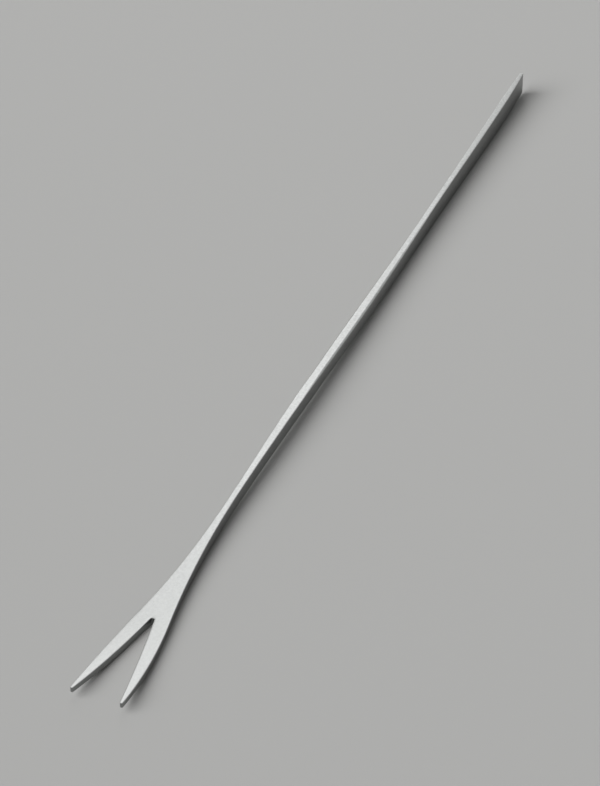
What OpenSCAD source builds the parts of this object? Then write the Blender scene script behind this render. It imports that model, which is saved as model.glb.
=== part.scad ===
// Oyster fork with two tines, forged and ground from one bar of steel.
// It lies along X, tine tips at +X and handle end at -X, with its bright top face up.
// Z = 0 is the table under it, and the origin is the middle of its length and width.

/* [Lengths] */
// Notch between the tines, from their tips to its rounded bottom
notch_length = 19.7; // [15:0.1:24]
// Shoulder, from the bottom of the notch to the thinnest part of the neck
shoulder_length = 30.3; // [22:0.1:38]
// Front of the handle, from the neck to the grip
front_length = 48; // [38:1:60]
// Back of the handle, from the grip to the narrow waist
back_length = 42; // [32:1:52]
// Tail, from the waist to the end of the handle
tail_length = 40; // [30:1:50]

/* [Widths] */
// Tine spread, between the centres of the two tips
tine_spread = 8.3; // [7:0.1:10]
// Across one tine at its tip
tip_width = 0.5; // [0.35:0.05:0.8]
// Across the rounded bottom of the notch
crotch_width = 0.65; // [0.4:0.05:1]
// Across the head, level with the bottom of the notch
head_width = 5.7; // [4.6:0.1:6.8]
// Across the neck
neck_width = 1.05; // [0.8:0.05:1.4]
// Across the swell in front of the grip
swell_width = 1.5; // [1.2:0.05:1.9]
// Across the grip
grip_width = 1.75; // [1.4:0.05:2.3]
// Across the waist behind the grip
waist_width = 0.98; // [0.8:0.02:1.3]
// Across the flare near the end of the handle
flare_width = 1.15; // [0.9:0.05:1.6]
// Across the rounded end of the handle
end_width = 0.7; // [0.5:0.05:0.95]

/* [Depths] */
// Thickness of a tine at its tip
tip_depth = 1; // [0.7:0.05:1.4]
// Thickness of the head at the bottom of the notch
head_depth = 1.5; // [1.1:0.05:2]
// Depth of the neck, top face to underside
neck_depth = 2.35; // [1.8:0.05:3]
// Depth of the grip
grip_depth = 2.8; // [2.2:0.05:3.5]
// Depth of the waist
waist_depth = 3.8; // [3:0.05:4.6]
// Depth of the blade at the end of the handle
end_depth = 4.3; // [3.5:0.1:5.2]

/* [Lie] */
// Flat heel under the head, which the fork rests on in front
heel_length = 4; // [2:0.5:6]
// Flat seat under the waist, which it rests on behind
seat_length = 18; // [8:1:26]
// Height of the underside of the tine tips over the table
tip_lift = 1.5; // [0.8:0.05:2.5]
// Height of the underside over the table where the handle bridges it
bridge_lift = 1; // [0.5:0.05:2]
// Height of the underside over the table at the end of the handle
end_lift = 0.55; // [0.2:0.05:1.2]

/* [Finish] */
// Radius of the softened edges
edge_radius = 0.12; // [0.05:0.01:0.18]
// Radius of the softer edges at the grip
grip_edge_radius = 0.3; // [0.15:0.01:0.4]
// Radius of the lower corner at the end of the handle
end_corner = 0.9; // [0.6:0.05:1.4]
// How sharply the shoulder sweeps in to the neck
shoulder_sweep = 2.2; // [2:0.1:3]

/* [Hidden] */

// Steps of the outline round each arc, along each stretch and over each softened edge
arc_steps = 4;
corner_steps = 3;
handle_steps = 64;
shoulder_steps = 20;
tine_steps = 16;
edge_steps = 3;

// Where the swell, the flare and the full softness of the grip lie on their stretches
swell_share = 0.52;
flare_share = 0.72;
soft_start_share = 0.75;
soft_end_share = 0.25;
// Softening of a tine tip, as a share of the tip's width
tip_edge_share = 0.22;

// Places along the fork, measured from the tine tips
neck_at = notch_length + shoulder_length;
swell_at = neck_at + front_length * swell_share;
grip_at = neck_at + front_length;
waist_at = grip_at + back_length;
flare_at = waist_at + tail_length * flare_share;
end_at = waist_at + tail_length;

// Radii of the rounded ends, and half the tine spread
tip_r = tip_width / 2;
crotch_r = crotch_width / 2;
end_r = end_width / 2;
tip_y = tine_spread / 2;

// Each line gives a size at places along the fork: [place, size]
width_line = [
    [notch_length, head_width],
    [neck_at, neck_width],
    [swell_at, swell_width],
    [grip_at, grip_width],
    [waist_at, waist_width],
    [flare_at, flare_width],
    [end_at - end_r, end_width]
];
depth_line = [
    [0, tip_depth],
    [notch_length, head_depth],
    [neck_at, neck_depth],
    [grip_at, grip_depth],
    [waist_at, waist_depth],
    [end_at, end_depth]
];
lift_line = [
    [0, tip_lift],
    [notch_length - heel_length / 2, 0],
    [notch_length + heel_length / 2, 0],
    [swell_at, bridge_lift],
    [waist_at - seat_length / 2, 0],
    [waist_at + seat_length / 2, 0],
    [end_at, end_lift]
];
edge_line = [
    [0, tip_width * tip_edge_share],
    [notch_length, edge_radius],
    [swell_at, edge_radius],
    [neck_at + front_length * soft_start_share, grip_edge_radius],
    [grip_at + back_length * soft_end_share, grip_edge_radius],
    [waist_at, edge_radius],
    [end_at, edge_radius]
];

// A smooth run from size a to size b over a length, with its slope at each end; t goes from 0 to 1
function run(a, b, slope_a, slope_b, length, t) =
    a * (1 + 2 * t) * pow(1 - t, 2)
    + slope_a * length * t * pow(1 - t, 2)
    + b * (3 - 2 * t) * pow(t, 2)
    - slope_b * length * (1 - t) * pow(t, 2);

// Slope of the straight chord from place i of a line to the next
function chord(line, i) = (line[i + 1][1] - line[i][1]) / (line[i + 1][0] - line[i][0]);

// Slope at an inner place of a line: level where the line turns back, and never steep enough to overshoot
function inner_slope(line, i) =
    let (before = chord(line, i - 1), after = chord(line, i))
    before * after <= 0 ? 0 : 2 * before * after / (before + after);

// Slope at any place of a line: it leaves each end in a plain arc
function slope(line, i) =
    i == 0 ? 2 * chord(line, 0) - inner_slope(line, 1)
    : i == len(line) - 1 ? 2 * chord(line, i - 1) - inner_slope(line, i - 1)
    : inner_slope(line, i);

// Size of a line at a place between its ends
function size_at(line, place) =
    let (
        passed = len([for (p = line) if (p[0] <= place) p]),
        i = max(0, min(passed, len(line) - 1) - 1),
        length = line[i + 1][0] - line[i][0]
    )
    run(line[i][1], line[i + 1][1], slope(line, i), slope(line, i + 1), length, (place - line[i][0]) / length);

// Slope of the head's side where the shoulder meets the tine
shoulder_slope = -(head_width - neck_width) / 2 * shoulder_sweep / shoulder_length;

// Half the width of the shoulder and handle at a place behind the notch
function half_width(place) =
    place > neck_at ? size_at(width_line, place) / 2
    : (neck_width + (head_width - neck_width) * pow((neck_at - place) / shoulder_length, shoulder_sweep)) / 2;

// Distance of a tine's outer edge from the middle line at a place beside the notch
function tine_edge(place) =
    let (length = notch_length - tip_r)
    run(tip_y + tip_r, head_width / 2, 0, shoulder_slope, length, (place - tip_r) / length);

// Angle at which each straight side of the notch leaves the middle line, touching both its round ends
notch_reach = notch_length - crotch_r - tip_r;
notch_angle = atan2(tip_y, notch_reach) - asin((tip_r + crotch_r) / norm([notch_reach, tip_y]));

// A point on the round tip of a tine; angle 0 is its very end, and 90 its outer side
function tip_point(angle) = [tip_r * (1 - cos(angle)), tip_y + tip_r * sin(angle)];

// A point on the round bottom of the notch; angle 180 is its very bottom
function crotch_point(angle) = [notch_length - crotch_r * (1 + cos(angle)), crotch_r * sin(angle)];

// Places of the outline's points along the side, from the handle end to the tip of a tine
corner_at = end_at - end_corner;
handle_places = concat(
    [for (k = [1:corner_steps]) end_at - end_r - (end_corner - end_r) * k / corner_steps],
    [for (k = [1:handle_steps]) corner_at - (corner_at - neck_at) * k / handle_steps],
    [for (k = [1:shoulder_steps]) neck_at - shoulder_length * k / shoulder_steps]
);
tine_start = notch_length - crotch_width;
tine_places = concat(
    [for (k = [1:arc_steps]) notch_length - crotch_width * k / arc_steps],
    [for (k = [1:tine_steps]) tine_start - (tine_start - tip_r) * k / tine_steps]
);

// Straight side of the notch, from the tip of the tine to the bottom of the notch
notch_from = tip_point(notch_angle - 90);
notch_to = crotch_point(notch_angle + 90);
notch_points = [for (k = [1:tine_steps]) notch_from + (notch_to - notch_from) * k / tine_steps];

// Half of the outline as [place, distance from the middle line]: out along the side of the fork
// to the tip of one tine, and back along the side of the notch to its bottom
side_points = concat(
    [for (k = [0:arc_steps]) [end_at - end_r * (1 - cos(90 * k / arc_steps)), end_r * sin(90 * k / arc_steps)]],
    [for (place = handle_places) [place, half_width(place)]],
    [for (place = tine_places) [place, tine_edge(place)]],
    [for (k = [1:arc_steps]) tip_point(90 - 90 * k / arc_steps)]
);
back_points = concat(
    [for (k = [1:arc_steps]) tip_point((notch_angle - 90) * k / arc_steps)],
    notch_points,
    [for (k = [1:arc_steps]) crotch_point(notch_angle + 90 + (90 - notch_angle) * k / arc_steps)]
);
half = concat(side_points, back_points);
bottom_of_notch = len(half) - 1;
outline = concat(half, [for (i = [bottom_of_notch - 1:-1:1]) [half[i][0], -half[i][1]]]);
count = len(outline);

// Direction in which an outline point moves when the outline shrinks
function inwards(i) =
    let (way = outline[(i + 1) % count] - outline[(i + count - 1) % count])
    [-way[1], way[0]] / norm(way);

// Rise of the underside in the rounded lower corner at the end of the handle
function corner_rise(place) =
    let (past = min(end_corner, max(0, place - corner_at)))
    end_corner - sqrt(pow(end_corner, 2) - pow(past, 2));

// Heights of the underside and of the top face at a place
function underside(place) = size_at(lift_line, place) + corner_rise(place);
function top_face(place) = size_at(lift_line, place) + size_at(depth_line, place);

// Point of the fork at a place, a distance from the middle line and a height
function solid_point(place, across, height) = [end_at / 2 - place, across, height];

// One ring of the skin; turn 0 is the inner edge of a face, and turn 90 the side of the fork
function ring(turn, on_top) = [
    for (i = [0:count - 1])
        let (
            soft = size_at(edge_line, outline[i][0]),
            p = outline[i] + inwards(i) * soft * (1 - sin(turn)),
            away = soft * (1 - cos(turn))
        )
        solid_point(p[0], p[1], on_top ? top_face(p[0]) - away : underside(p[0]) + away)
];
turns = [for (k = [0:edge_steps]) 90 * k / edge_steps];
rings = concat(
    [for (turn = turns) ring(turn, false)],
    [for (k = [edge_steps:-1:0]) ring(turns[k], true)]
);
last_ring = len(rings) - 1;

// The number of pairs of points that face each other: the side against the middle line as far as
// the notch, then the outer edge of a tine against its inner edge
pairs = len(side_points) - 1;
notch_pair = 2 * pairs - bottom_of_notch;
function middle_points(r, on_top) = [
    for (i = [1:notch_pair - 1])
        let (place = end_at / 2 - rings[r][i][0])
        solid_point(place, 0, on_top ? top_face(place) : underside(place))
];
middle_low = len(rings) * count - 1;
middle_high = middle_low + notch_pair - 1;

// Number of an outline point in a ring, and of the point that faces it; side is 1 or -1
function outer(r, i, side) = r * count + (side > 0 ? i : (count - i) % count);
function facing(r, i, side, middle) =
    i == 0 ? r * count
    : i < notch_pair ? middle + i
    : outer(r, bottom_of_notch - (i - notch_pair), side);

// Two triangles for four corners, or one where two corners are the same point
function split(a, b, c, d) = [
    for (t = [[a, b, c], [a, c, d]])
        if (t[0] != t[1] && t[1] != t[2] && t[2] != t[0]) t
];
function reversed(faces) = [for (f = faces) [f[2], f[1], f[0]]];

// One half of a flat face, seen clockwise from above for side 1
function face_half(r, side, middle) = [
    for (i = [0:pairs - 1])
        each split(
            outer(r, i, side),
            outer(r, i + 1, side),
            facing(r, i + 1, side, middle),
            facing(r, i, side, middle)
        )
];
wall_faces = [
    for (r = [0:last_ring - 1], i = [0:count - 1])
        let (next = (i + 1) % count)
        each split(r * count + i, r * count + next, (r + 1) * count + next, (r + 1) * count + i)
];
top_faces = concat(
    face_half(last_ring, 1, middle_high),
    reversed(face_half(last_ring, -1, middle_high))
);
bottom_faces = concat(
    reversed(face_half(0, 1, middle_low)),
    face_half(0, -1, middle_low)
);

// The whole fork: flat tines and head, slim neck and deep, narrow blade of a handle
module fork() {
    color("silver")
        polyhedron(
            points = concat([for (r = rings) each r], middle_points(0, false), middle_points(last_ring, true)),
            faces = concat(wall_faces, top_faces, bottom_faces),
            convexity = 6
        );
}

fork();
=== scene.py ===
import math

import bpy
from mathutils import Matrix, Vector


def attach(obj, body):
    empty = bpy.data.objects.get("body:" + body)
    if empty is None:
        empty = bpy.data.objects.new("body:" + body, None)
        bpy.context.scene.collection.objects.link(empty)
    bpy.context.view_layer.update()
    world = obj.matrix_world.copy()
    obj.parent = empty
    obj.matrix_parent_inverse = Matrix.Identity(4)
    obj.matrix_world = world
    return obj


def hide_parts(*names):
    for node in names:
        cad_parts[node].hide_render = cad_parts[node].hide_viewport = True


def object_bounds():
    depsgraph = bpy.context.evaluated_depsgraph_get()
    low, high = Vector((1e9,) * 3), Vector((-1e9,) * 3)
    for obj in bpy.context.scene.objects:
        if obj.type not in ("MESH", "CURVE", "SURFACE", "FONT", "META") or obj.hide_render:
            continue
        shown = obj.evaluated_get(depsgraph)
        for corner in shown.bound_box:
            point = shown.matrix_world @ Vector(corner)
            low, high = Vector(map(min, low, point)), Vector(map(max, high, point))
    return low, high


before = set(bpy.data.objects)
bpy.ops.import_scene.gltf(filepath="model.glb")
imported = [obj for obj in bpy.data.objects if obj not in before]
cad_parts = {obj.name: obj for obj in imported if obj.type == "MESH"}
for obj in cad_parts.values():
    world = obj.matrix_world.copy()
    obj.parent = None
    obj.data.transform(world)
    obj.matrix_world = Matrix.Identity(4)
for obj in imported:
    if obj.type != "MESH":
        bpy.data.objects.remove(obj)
cad_low, cad_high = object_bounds()

# The fork: one bar of stainless steel, split into two tines and forged to a flat head, a slim
# neck and a deep, narrow blade of a handle. Its top face is ground in one run from end to end,
# the edges are softened by hand, and the whole fork is bead-blasted to a satin.
mm = 0.001
fork_sizes = {
    "Length": cad_high.x - cad_low.x,
    "Notch length": 19.7 * mm,
    "Shoulder length": 30.3 * mm,
    "Front length": 48 * mm,
    "Back length": 42 * mm,
    "Tine spread": 8.3 * mm,
    "Tip width": 0.5 * mm,
    "Crotch width": 0.65 * mm,
    "Head width": 5.7 * mm,
    "Neck width": 1.05 * mm,
    "Swell width": 1.5 * mm,
    "Grip width": 1.75 * mm,
    "Waist width": 0.98 * mm,
    "Flare width": 1.15 * mm,
    "End width": 0.7 * mm,
    "Tip depth": 1 * mm,
    "Head depth": 1.5 * mm,
    "Neck depth": 2.35 * mm,
    "Grip depth": 2.8 * mm,
    "Waist depth": 3.8 * mm,
    "End depth": 4.3 * mm,
    "Heel length": 4 * mm,
    "Seat length": 18 * mm,
    "Tip lift": 1.5 * mm,
    "Bridge lift": 1 * mm,
    "End lift": 0.55 * mm,
    "Edge radius": 0.12 * mm,
    "Grip edge radius": 0.3 * mm,
    "End corner": 0.9 * mm,
    "Shoulder sweep": 2.2,
}
swell_share = 0.52
flare_share = 0.72
soft_start_share = 0.75
soft_end_share = 0.25
tip_edge_share = 0.22


class Wire:
    """A value in a node tree. Arithmetic on wires adds the Math nodes that it needs."""

    def __init__(self, tree, socket=None):
        self.tree = tree
        self.socket = socket

    def node(self, kind, settings, inputs, out=0):
        """Adds a node, sets it, then feeds its inputs with values, wires or lists of wires."""
        made = self.tree.nodes.new(kind)
        for name, value in settings.items():
            setattr(made, name, value)
        for key, value in inputs.items():
            for feed in value if isinstance(value, list) else [value]:
                if isinstance(feed, Wire):
                    self.tree.links.new(feed.socket, made.inputs[key])
                else:
                    made.inputs[key].default_value = feed
        return Wire(self.tree, made.outputs[out]) if made.outputs else None

    def out(self, name):
        """Another output of the node that this wire comes from."""
        return Wire(self.tree, self.socket.node.outputs[name])

    def math(self, operation, *values, clamp=False):
        """Adds a Math node with these values or wires."""
        settings = {"operation": operation, "use_clamp": clamp}
        return self.node("ShaderNodeMath", settings, dict(enumerate(values)))

    def above(self, least):
        return self.math("MAXIMUM", self, least)

    def sin(self):
        return self.math("SINE", self)

    def cos(self):
        return self.math("COSINE", self)

    def root(self):
        return self.math("SQRT", self.above(0))

    def __add__(self, other):
        return self.math("ADD", self, other)

    def __radd__(self, other):
        return self.math("ADD", other, self)

    def __sub__(self, other):
        return self.math("SUBTRACT", self, other)

    def __rsub__(self, other):
        return self.math("SUBTRACT", other, self)

    def __mul__(self, other):
        return self.math("MULTIPLY", self, other)

    def __rmul__(self, other):
        return self.math("MULTIPLY", other, self)

    def __truediv__(self, other):
        return self.math("DIVIDE", self, other)

    def __rtruediv__(self, other):
        return self.math("DIVIDE", other, self)

    def __pow__(self, other):
        return self.math("POWER", self, other)

    def __abs__(self):
        return self.math("ABSOLUTE", self)

    def __lt__(self, other):
        return self.math("LESS_THAN", self, other)

    def __gt__(self, other):
        return self.math("GREATER_THAN", self, other)


fork_tree = bpy.data.node_groups.new("Fork shape", "GeometryNodeTree")
fork_tree.interface.new_socket("Fork", in_out="OUTPUT", socket_type="NodeSocketGeometry")
fork_inputs = {}
for name in fork_sizes:
    fork_input = fork_tree.interface.new_socket(name, in_out="INPUT", socket_type="NodeSocketFloat")
    fork_inputs[name] = fork_input.identifier
shape = Wire(fork_tree)
given = shape.node("NodeGroupInput", {}, {})
size = {name: given.out(name) for name in fork_sizes}

# Places along the fork, measured from the tine tips, and the radii of its rounded ends
notch = size["Notch length"]
neck_at = notch + size["Shoulder length"]
grip_at = neck_at + size["Front length"]
waist_at = grip_at + size["Back length"]
end_at = size["Length"]
swell_at = neck_at + size["Front length"] * swell_share
flare_at = waist_at + (end_at - waist_at) * flare_share
corner_at = end_at - size["End corner"]
tip_r = size["Tip width"] / 2
crotch_r = size["Crotch width"] / 2
end_r = size["End width"] / 2
tip_y = size["Tine spread"] / 2

# Each line gives a size at places along the fork: [place, size]
width_line = [
    [notch, size["Head width"]],
    [neck_at, size["Neck width"]],
    [swell_at, size["Swell width"]],
    [grip_at, size["Grip width"]],
    [waist_at, size["Waist width"]],
    [flare_at, size["Flare width"]],
    [end_at - end_r, size["End width"]],
]
depth_line = [
    [0, size["Tip depth"]],
    [notch, size["Head depth"]],
    [neck_at, size["Neck depth"]],
    [grip_at, size["Grip depth"]],
    [waist_at, size["Waist depth"]],
    [end_at, size["End depth"]],
]
lift_line = [
    [0, size["Tip lift"]],
    [notch - size["Heel length"] / 2, 0],
    [notch + size["Heel length"] / 2, 0],
    [swell_at, size["Bridge lift"]],
    [waist_at - size["Seat length"] / 2, 0],
    [waist_at + size["Seat length"] / 2, 0],
    [end_at, size["End lift"]],
]
edge_line = [
    [0, size["Tip width"] * tip_edge_share],
    [notch, size["Edge radius"]],
    [swell_at, size["Edge radius"]],
    [neck_at + size["Front length"] * soft_start_share, size["Grip edge radius"]],
    [grip_at + size["Back length"] * soft_end_share, size["Grip edge radius"]],
    [waist_at, size["Edge radius"]],
    [end_at, size["Edge radius"]],
]


def change(place, start, end, rise, slope_from, slope_to):
    """What a size gains by a place on a smooth run from start to end, and all its rise beyond."""
    length = end - start
    t = shape.math("DIVIDE", place - start, length, clamp=True)
    bend = slope_from * (1 - t) - slope_to * t
    return rise * t * t * (3 - 2 * t) + length * t * (1 - t) * bend


def size_along(line, place):
    """The size of a line at a place: like a batten, level where it turns back, no overshoot."""
    chords = [(b[1] - a[1]) / (b[0] - a[0]) for a, b in zip(line, line[1:])]
    inner = [(a * b > 0) * 2 * a * b / (a + b) for a, b in zip(chords, chords[1:])]
    slopes = [2 * chords[0] - inner[0], *inner, 2 * chords[-1] - inner[-1]]
    total = line[0][1]
    for i, (a, b) in enumerate(zip(line, line[1:])):
        total = total + change(place, a[0], b[0], b[1] - a[1], slopes[i], slopes[i + 1])
    return total


# A flat grid is bent into one half of the fork. Its stations run from the end of the handle to
# the tip of a tine. Its columns run round the section: up the outer side, over the top face, down
# the side of the notch and back underneath, with a quarter of them for each softened edge.
stretch_steps = {"end": 6, "corner": 6, "handle": 150, "shoulder": 50, "crotch": 8, "tine": 44, "tip": 8}
quarters = 4
edge_steps = 6
outlying_columns = 2
quarter_columns = edge_steps + 1 + outlying_columns
stations = sum(stretch_steps.values())
columns = quarters * quarter_columns
position = shape.node("GeometryNodeInputPosition", {}, {})
spot = shape.node("ShaderNodeSeparateXYZ", {}, {0: position})
station = shape.math("ROUND", spot.out("X") + stations / 2)
column = shape.math("ROUND", spot.out("Y") + columns / 2)
share = {}
first = 0
for name, steps in stretch_steps.items():
    share[name] = shape.math("DIVIDE", station - first, steps, clamp=True)
    first += steps

# Each quarter turns from a side to a flat face or back. Its first and last columns stand a little
# way out on the flats, so that these stay flat when the mesh is shaded smooth. The comparisons with
# halves fall between two whole counts, of quarters or of steps.
right_angle = math.pi / 2
stand_off = 0.12
quarter = shape.math("FLOOR", column / quarter_columns)
step = column - quarter * quarter_columns
turn = (quarter + shape.math("DIVIDE", step - 1, edge_steps, clamp=True)) * right_angle
sideways = abs(turn.cos())
upright = abs(turn.sin())
outlying = ((step < 0.5) + (step > edge_steps + 1.5)) * stand_off
on_top = (quarter < 1.5) + (quarter > 3.5)
inside = (quarter > 0.5) * (quarter < 2.5)
to_top = on_top + outlying * sideways * (1 - 2 * on_top)
to_inside = inside + outlying * upright * (1 - 2 * inside)

# The straight side of the notch leaves the middle line at this angle and touches both round ends
notch_reach = notch - crotch_r - tip_r
notch_span = (notch_reach * notch_reach + tip_y * tip_y).root()
notch_lean = shape.math("ARCTAN2", tip_y, notch_reach)
notch_angle = notch_lean - shape.math("ARCSINE", (tip_r + crotch_r) / notch_span)
notch_sine = notch_angle.sin()
notch_cosine = notch_angle.cos()
crotch_turn = (right_angle - notch_angle) * share["crotch"]
tip_turn = (right_angle - notch_angle) * (1 - share["tip"])


def place_at(inset):
    """The place of a station on the ring that lies this far inside the fork's outline."""
    crotch_ring = crotch_r + inset
    tip_ring = tip_r - inset
    side_length = notch_reach + (crotch_ring + tip_ring) * notch_sine
    return (
        end_at
        - inset
        - (end_r - inset) * (1 - (share["end"] * right_angle).cos())
        - (size["End corner"] - end_r) * share["corner"]
        - (corner_at - neck_at) * share["handle"]
        - (size["Shoulder length"] - inset) * share["shoulder"]
        - crotch_ring * (1 - crotch_turn.cos())
        - side_length * share["tine"]
        - tip_ring * (tip_turn.cos() - notch_sine)
    )


soft = size_along(edge_line, place_at(0))
inset = soft * (1 - sideways)
place = place_at(inset)
crotch_ring = crotch_r + inset
tip_ring = tip_r - inset

# Across the fork: its outer side, and the side of the notch, which is the middle line elsewhere
shoulder_share = (neck_at - place.above(notch)).above(0) / size["Shoulder length"]
swept = (size["Head width"] - size["Neck width"]) * shoulder_share ** size["Shoulder sweep"]
half_width = (size_along(width_line, place.above(neck_at)) + swept) / 2
tine_rise = size["Head width"] / 2 - tip_y - tip_r
shoulder_fall = (size["Neck width"] - size["Head width"]) / 2
shoulder_slope = shoulder_fall * size["Shoulder sweep"] / size["Shoulder length"]
outer_edge = half_width - tine_rise + change(place, tip_r, notch, tine_rise, 0, shoulder_slope)
short = (tip_r - place).above(0) / tip_ring
round_tip = (1 - short * short).root() * (share["tip"] < 1)
round_end = (share["end"] * right_angle).sin()
outer = (tip_y + (outer_edge - tip_y - inset) * round_tip) * round_end
side_rise = tip_y - (crotch_ring + tip_ring) * notch_cosine
inner = (
    crotch_ring * crotch_turn.sin()
    + side_rise * share["tine"]
    + tip_ring * (notch_cosine - tip_turn.sin())
)
across = outer + (inner - outer) * to_inside

# Height: the underside with its rounded corner at the end of the handle, and the top face
lift = size_along(lift_line, place)
past = (place - corner_at).above(0)
corner_rise = size["End corner"] - (size["End corner"] * size["End corner"] - past * past).root()
away = soft * (1 - upright)
low = lift + corner_rise + away
depth = size_along(depth_line, place)
high = lift + depth - away
height = low + (high - low) * to_top

# The skin laid out flat at one scale, for its finish to be baked on. Each half is cut across into
# strips that lie one above the other, and the other half's strips are the same ones turned over.
strips = 3
strip_margin = 1 * mm
strip_height = 10.6 * mm
run_lengths = {
    "end": end_r * right_angle,
    "corner": size["End corner"] - end_r,
    "handle": corner_at - neck_at,
    "shoulder": size["Shoulder length"],
    "crotch": crotch_r * (right_angle - notch_angle),
    "tine": notch_reach,
    "tip": tip_r * (right_angle - notch_angle),
}
along = 0
skin_length = 0
for name, run_length in run_lengths.items():
    along = run_length * share[name] + along
    skin_length = run_length + skin_length
strip_length = skin_length / strips
face_along = shape.node("GeometryNodeFieldOnDomain", {"domain": "FACE"}, {"Value": along})
strip = shape.math("MINIMUM", shape.math("FLOOR", face_along / strip_length), strips - 1)
below = quarter > 1.5
outer_again = quarter > 2.5
walls_passed = stand_off + inside * (1 - to_top) + (1 - inside) * (to_top + 2 * outer_again - 1)
faces_passed = to_inside + 2 * below * (1 - to_inside)
around = soft * turn + depth * walls_passed + half_width * faces_passed
flat_place = {
    "X": (strip_margin + along - strip * strip_length) / (strip_length + 2 * strip_margin),
    "Y": (strip + around / strip_height) / (2 * strips),
}
flat_place = shape.node("ShaderNodeCombineXYZ", {}, flat_place)

# Both halves, less the inner walls that would meet in the middle plane, are joined along it
middle_plane = 0.0001 * mm
weld = 0.001 * mm
grid_sizes = {
    "Size X": stations,
    "Size Y": columns,
    "Vertices X": stations + 1,
    "Vertices Y": columns + 1,
}
sheet = shape.node("GeometryNodeMeshGrid", {}, grid_sizes)
flank_mark = {"Geometry": sheet, "Name": "flank", "Value": sideways * sideways}
sheet = shape.node("GeometryNodeStoreNamedAttribute", {"data_type": "FLOAT"}, flank_mark)
map_settings = {"data_type": "FLOAT2", "domain": "CORNER"}
map_mark = {"Geometry": sheet, "Name": "OFBake", "Value": flat_place}
sheet = shape.node("GeometryNodeStoreNamedAttribute", map_settings, map_mark)
point = shape.node("ShaderNodeCombineXYZ", {}, {"X": end_at / 2 - place, "Y": across, "Z": height})
half = shape.node("GeometryNodeSetPosition", {}, {"Geometry": sheet, "Position": point})
off_middle = shape.node("ShaderNodeSeparateXYZ", {}, {0: position})
meeting = {"Geometry": half, "Selection": off_middle.out("Y") < middle_plane}
half = shape.node("GeometryNodeDeleteGeometry", {"domain": "FACE"}, meeting)
other_half = shape.node("GeometryNodeTransform", {}, {"Geometry": half, "Scale": (1, -1, 1)})
half = shape.node("GeometryNodeFlipFaces", {}, {"Mesh": half})
kept_kind = {"data_type": "FLOAT_VECTOR"}
kept_place = shape.node("GeometryNodeInputNamedAttribute", kept_kind, {"Name": "OFBake"})
turning = {0: kept_place, 1: (1, -1, 1), 2: (0, 1, 0)}
turned_place = shape.node("ShaderNodeVectorMath", {"operation": "MULTIPLY_ADD"}, turning)
map_mark = {"Geometry": half, "Name": "OFBake", "Value": turned_place}
half = shape.node("GeometryNodeStoreNamedAttribute", map_settings, map_mark)
whole = shape.node("GeometryNodeJoinGeometry", {}, {"Geometry": [half, other_half]})
whole = shape.node("GeometryNodeMergeByDistance", {}, {"Geometry": whole, "Distance": weld})
whole = shape.node("GeometryNodeSetShadeSmooth", {}, {"Geometry": whole, "Shade Smooth": True})
whole = shape.node("GeometryNodeRealizeInstances", {}, {"Geometry": whole})

# The satin: a fine grain with shallow pits from the blasting, a soft mottle that is evener on the
# head than along the handle, sides darkened with painted shade, and edges that handling has
# worn brighter in clouds
satin_steel = bpy.data.materials.new("satin_steel")
satin_steel.use_nodes = True
satin_steel.node_tree.nodes.clear()
steel = Wire(satin_steel.node_tree)
steel_tone = (0.636, 0.648, 0.642, 1)
worn_tone = (0.84, 0.852, 0.846, 1)
# Painted shade: the sides get a darker tone than the top, the same steel shown as if in shade
painted_flank_shade = (0.29, 0.297, 0.293, 1)
least_wear = 0.25
cloud_wear = 0.5
steel_roughness = 0.3
rim_roughness = 0.15
grain_size = 0.14 * mm
grain_tone = 0.32
grain_roughness = 0.1
pit_depth = 0.003 * mm
pit_strength = 0.5
mottle_size = 0.45 * mm
mottle_tone = 0.44
head_evenness = 0.55
cloud_size = 14 * mm
cloud_roughness = 0.05
spot_detail = 2.0
cloud_detail = 3.0
noise_mean = 0.5
on_fork = steel.node("ShaderNodeTexCoord", {}, {}, "Object")


def noise(spot_size, detail):
    """Noise from 0 to 1 on the fork, with spots of about this size."""
    spots = {"Vector": on_fork, "Scale": 1 / spot_size, "Detail": detail}
    return steel.node("ShaderNodeTexNoise", {}, spots)


grain = noise(grain_size, spot_detail)
mottle = noise(mottle_size, spot_detail)
cloud = noise(cloud_size, cloud_detail)

# The flank mark is 1 on the sides and 0 on the flat faces, and the rim is 1 halfway round an edge
flank = steel.node("ShaderNodeAttribute", {"attribute_name": "flank"}, {}, "Fac")
rim = flank * (1 - flank) * 4
wear = rim * (least_wear + cloud * cloud_wear)
# The first mix paints shade on the sides: by the flank mark they take the darker flank tone
tone = steel.node("ShaderNodeMix", {"data_type": "RGBA"}, {0: flank, 6: steel_tone, 7: painted_flank_shade}, 2)
tone = steel.node("ShaderNodeMix", {"data_type": "RGBA"}, {0: wear, 6: tone, 7: worn_tone}, 2)
neck_x = fork_sizes["Length"] / 2 - fork_sizes["Notch length"] - fork_sizes["Shoulder length"]
past_neck = steel.node("ShaderNodeSeparateXYZ", {}, {0: on_fork}).out("X") - neck_x
head = steel.math("DIVIDE", past_neck, fork_sizes["Shoulder length"], clamp=True)
unevenness = (mottle - noise_mean) * mottle_tone + (grain - noise_mean) * grain_tone
speckle = 1 + unevenness * (1 - head * head_evenness)
tone = steel.node("ShaderNodeVectorMath", {"operation": "SCALE"}, {0: tone, "Scale": speckle})
roughness = steel_roughness + rim * rim_roughness + (cloud - noise_mean) * cloud_roughness
roughness = roughness + (grain - noise_mean) * grain_roughness
pitting = {"Strength": pit_strength, "Distance": pit_depth, "Height": grain}
pits = steel.node("ShaderNodeBump", {}, pitting)
blasted = {"Base Color": tone, "Metallic": 1.0, "Roughness": roughness, "Normal": pits}
steel_bsdf = steel.node("ShaderNodeBsdfPrincipled", {}, blasted)
steel.node("ShaderNodeOutputMaterial", {}, {"Surface": steel_bsdf})

whole = shape.node("GeometryNodeSetMaterial", {}, {"Geometry": whole, "Material": satin_steel})
shape.node("NodeGroupOutput", {}, {"Fork": whole})

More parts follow.
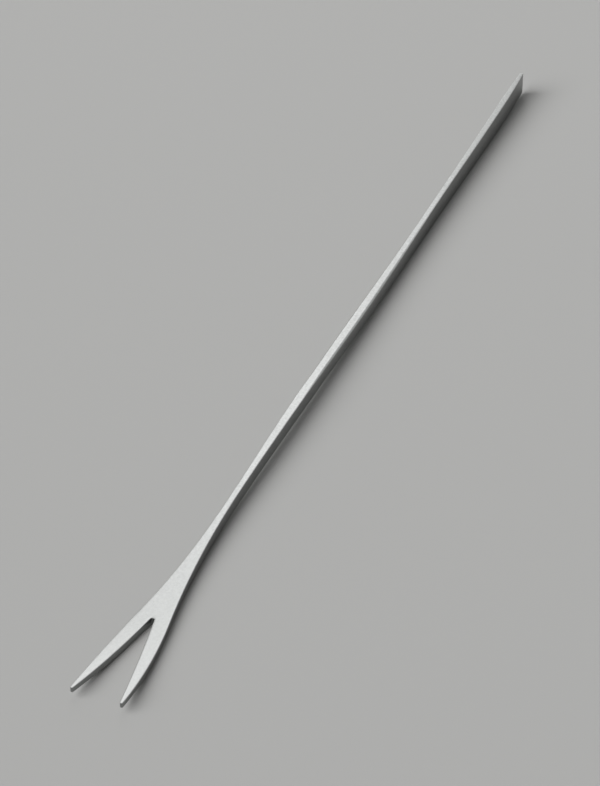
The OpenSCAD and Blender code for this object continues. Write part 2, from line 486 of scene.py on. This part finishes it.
fork = bpy.data.objects.new("satin_fork", bpy.data.meshes.new("satin_fork"))
bpy.context.scene.collection.objects.link(fork)
shaping = fork.modifiers.new("Fork shape", "NODES")
shaping.node_group = fork_tree
for name, value in fork_sizes.items():
    shaping[fork_inputs[name]] = value
scene_now = bpy.context.evaluated_depsgraph_get()
fork_mesh = bpy.data.meshes.new_from_object(
    fork.evaluated_get(scene_now), preserve_all_data_layers=True, depsgraph=scene_now
)
fork.modifiers.clear()
fork.data = fork_mesh
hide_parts("fork")
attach(fork, "root")

# The floor: a plain pale table top of matt laminate that the fork rests on. It is one flat sheet,
# wide enough for every view, and isn't part of the fork.
floor_half = 4.0
floor_tone = (0.48, 0.48, 0.472, 1)
floor_roughness = 0.8
floor_specular = 0.2
floor_mesh = bpy.data.meshes.new("floor")
floor_corners = [(x * floor_half, y * floor_half, 0) for x, y in ((-1, -1), (1, -1), (1, 1), (-1, 1))]
floor_mesh.from_pydata(floor_corners, [], [(0, 1, 2, 3)])
floor = bpy.data.objects.new("floor", floor_mesh)
bpy.context.scene.collection.objects.link(floor)
matt_laminate = bpy.data.materials.new("matt_laminate")
matt_laminate.use_nodes = True
matt_laminate.node_tree.nodes.clear()
laminate = Wire(matt_laminate.node_tree)
matt = {"Base Color": floor_tone, "Roughness": floor_roughness, "Specular IOR Level": floor_specular}
laminate_bsdf = laminate.node("ShaderNodeBsdfPrincipled", {}, matt)
laminate.node("ShaderNodeOutputMaterial", {}, {"Surface": laminate_bsdf})
floor_mesh.materials.append(matt_laminate)

# The light: a long softbox that leans over the fork from behind, which the top face mirrors, and a
# broad soft key light from the left, even over the whole table, that throws the shadow to the
# right. The room is pale to the eye and in the steel, but adds only a little light of its own.
softbox_at = (-0.244, -0.128, 0.393)
softbox_width = 0.144
softbox_height = 0.8
softbox_power = 0.33
key_from = (0.7, -0.48, 0.72)
key_strength = 3.15
key_angle = math.radians(50)
key_box_side = 1.0
key_box_tone = 1.0
softbox = bpy.data.lights.new("softbox", "AREA")
softbox.shape = "RECTANGLE"
softbox.size = softbox_width
softbox.size_y = softbox_height
softbox.energy = softbox_power

# The steel would mirror the key as a burnt white patch, so it mirrors a square softbox there instead
key = bpy.data.lights.new("key", "SUN")
key.energy = key_strength
key.angle = key_angle
key_box = bpy.data.lights.new("key_box", "AREA")
key_box.shape = "SQUARE"
key_box.size = key_box_side
key_box.energy = key_box_tone * math.pi * key_box_side ** 2
for light, place_from in ((softbox, softbox_at), (key, key_from), (key_box, key_from)):
    holder = bpy.data.objects.new(light.name, light)
    holder.location = place_from
    holder.rotation_euler = Vector(place_from).to_track_quat("Z", "Y").to_euler()
    holder.visible_camera = False
    holder.visible_glossy = light != key
    holder.visible_diffuse = light != key_box
    bpy.context.scene.collection.objects.link(holder)

room_light = (0.15, 0.15, 0.15, 1)
room_tone = (0.44, 0.44, 0.435, 1)
room = bpy.data.worlds.new("room")
room.use_nodes = True
room.node_tree.nodes.clear()
air = Wire(room.node_tree)
ray = air.node("ShaderNodeLightPath", {}, {})
seen = ray.out("Is Camera Ray") + ray.out("Is Glossy Ray") + ray.out("Is Transmission Ray")
dim_room = air.node("ShaderNodeBackground", {}, {"Color": room_light})
pale_room = air.node("ShaderNodeBackground", {}, {"Color": room_tone})
room_shader = air.node("ShaderNodeMixShader", {}, {0: seen, 1: dim_room, 2: pale_room})
air.node("ShaderNodeOutputWorld", {}, {"Surface": room_shader})
bpy.context.scene.world = room

# The camera: the photograph's angle, from above the fork's right side and tines, with a long lens
# and at the distance from which the fork fills the frame as it does in the photograph.
azimuth = math.radians(113.734)
elevation = math.radians(39.072)
aim = Vector((9.062, -2.163, 0)) * mm
camera_distance = 0.5506
lens_length = 150
back = Vector(
    (
        math.sin(azimuth) * math.cos(elevation),
        -math.cos(azimuth) * math.cos(elevation),
        math.sin(elevation),
    )
)
camera = bpy.data.objects.new("camera", bpy.data.cameras.new("camera"))
camera.data.lens = lens_length
camera.location = aim + back * camera_distance
camera.rotation_euler = back.to_track_quat("Z", "Y").to_euler()
bpy.context.scene.collection.objects.link(camera)
bpy.context.scene.camera = camera
bpy.context.scene.view_settings.view_transform = "Standard"
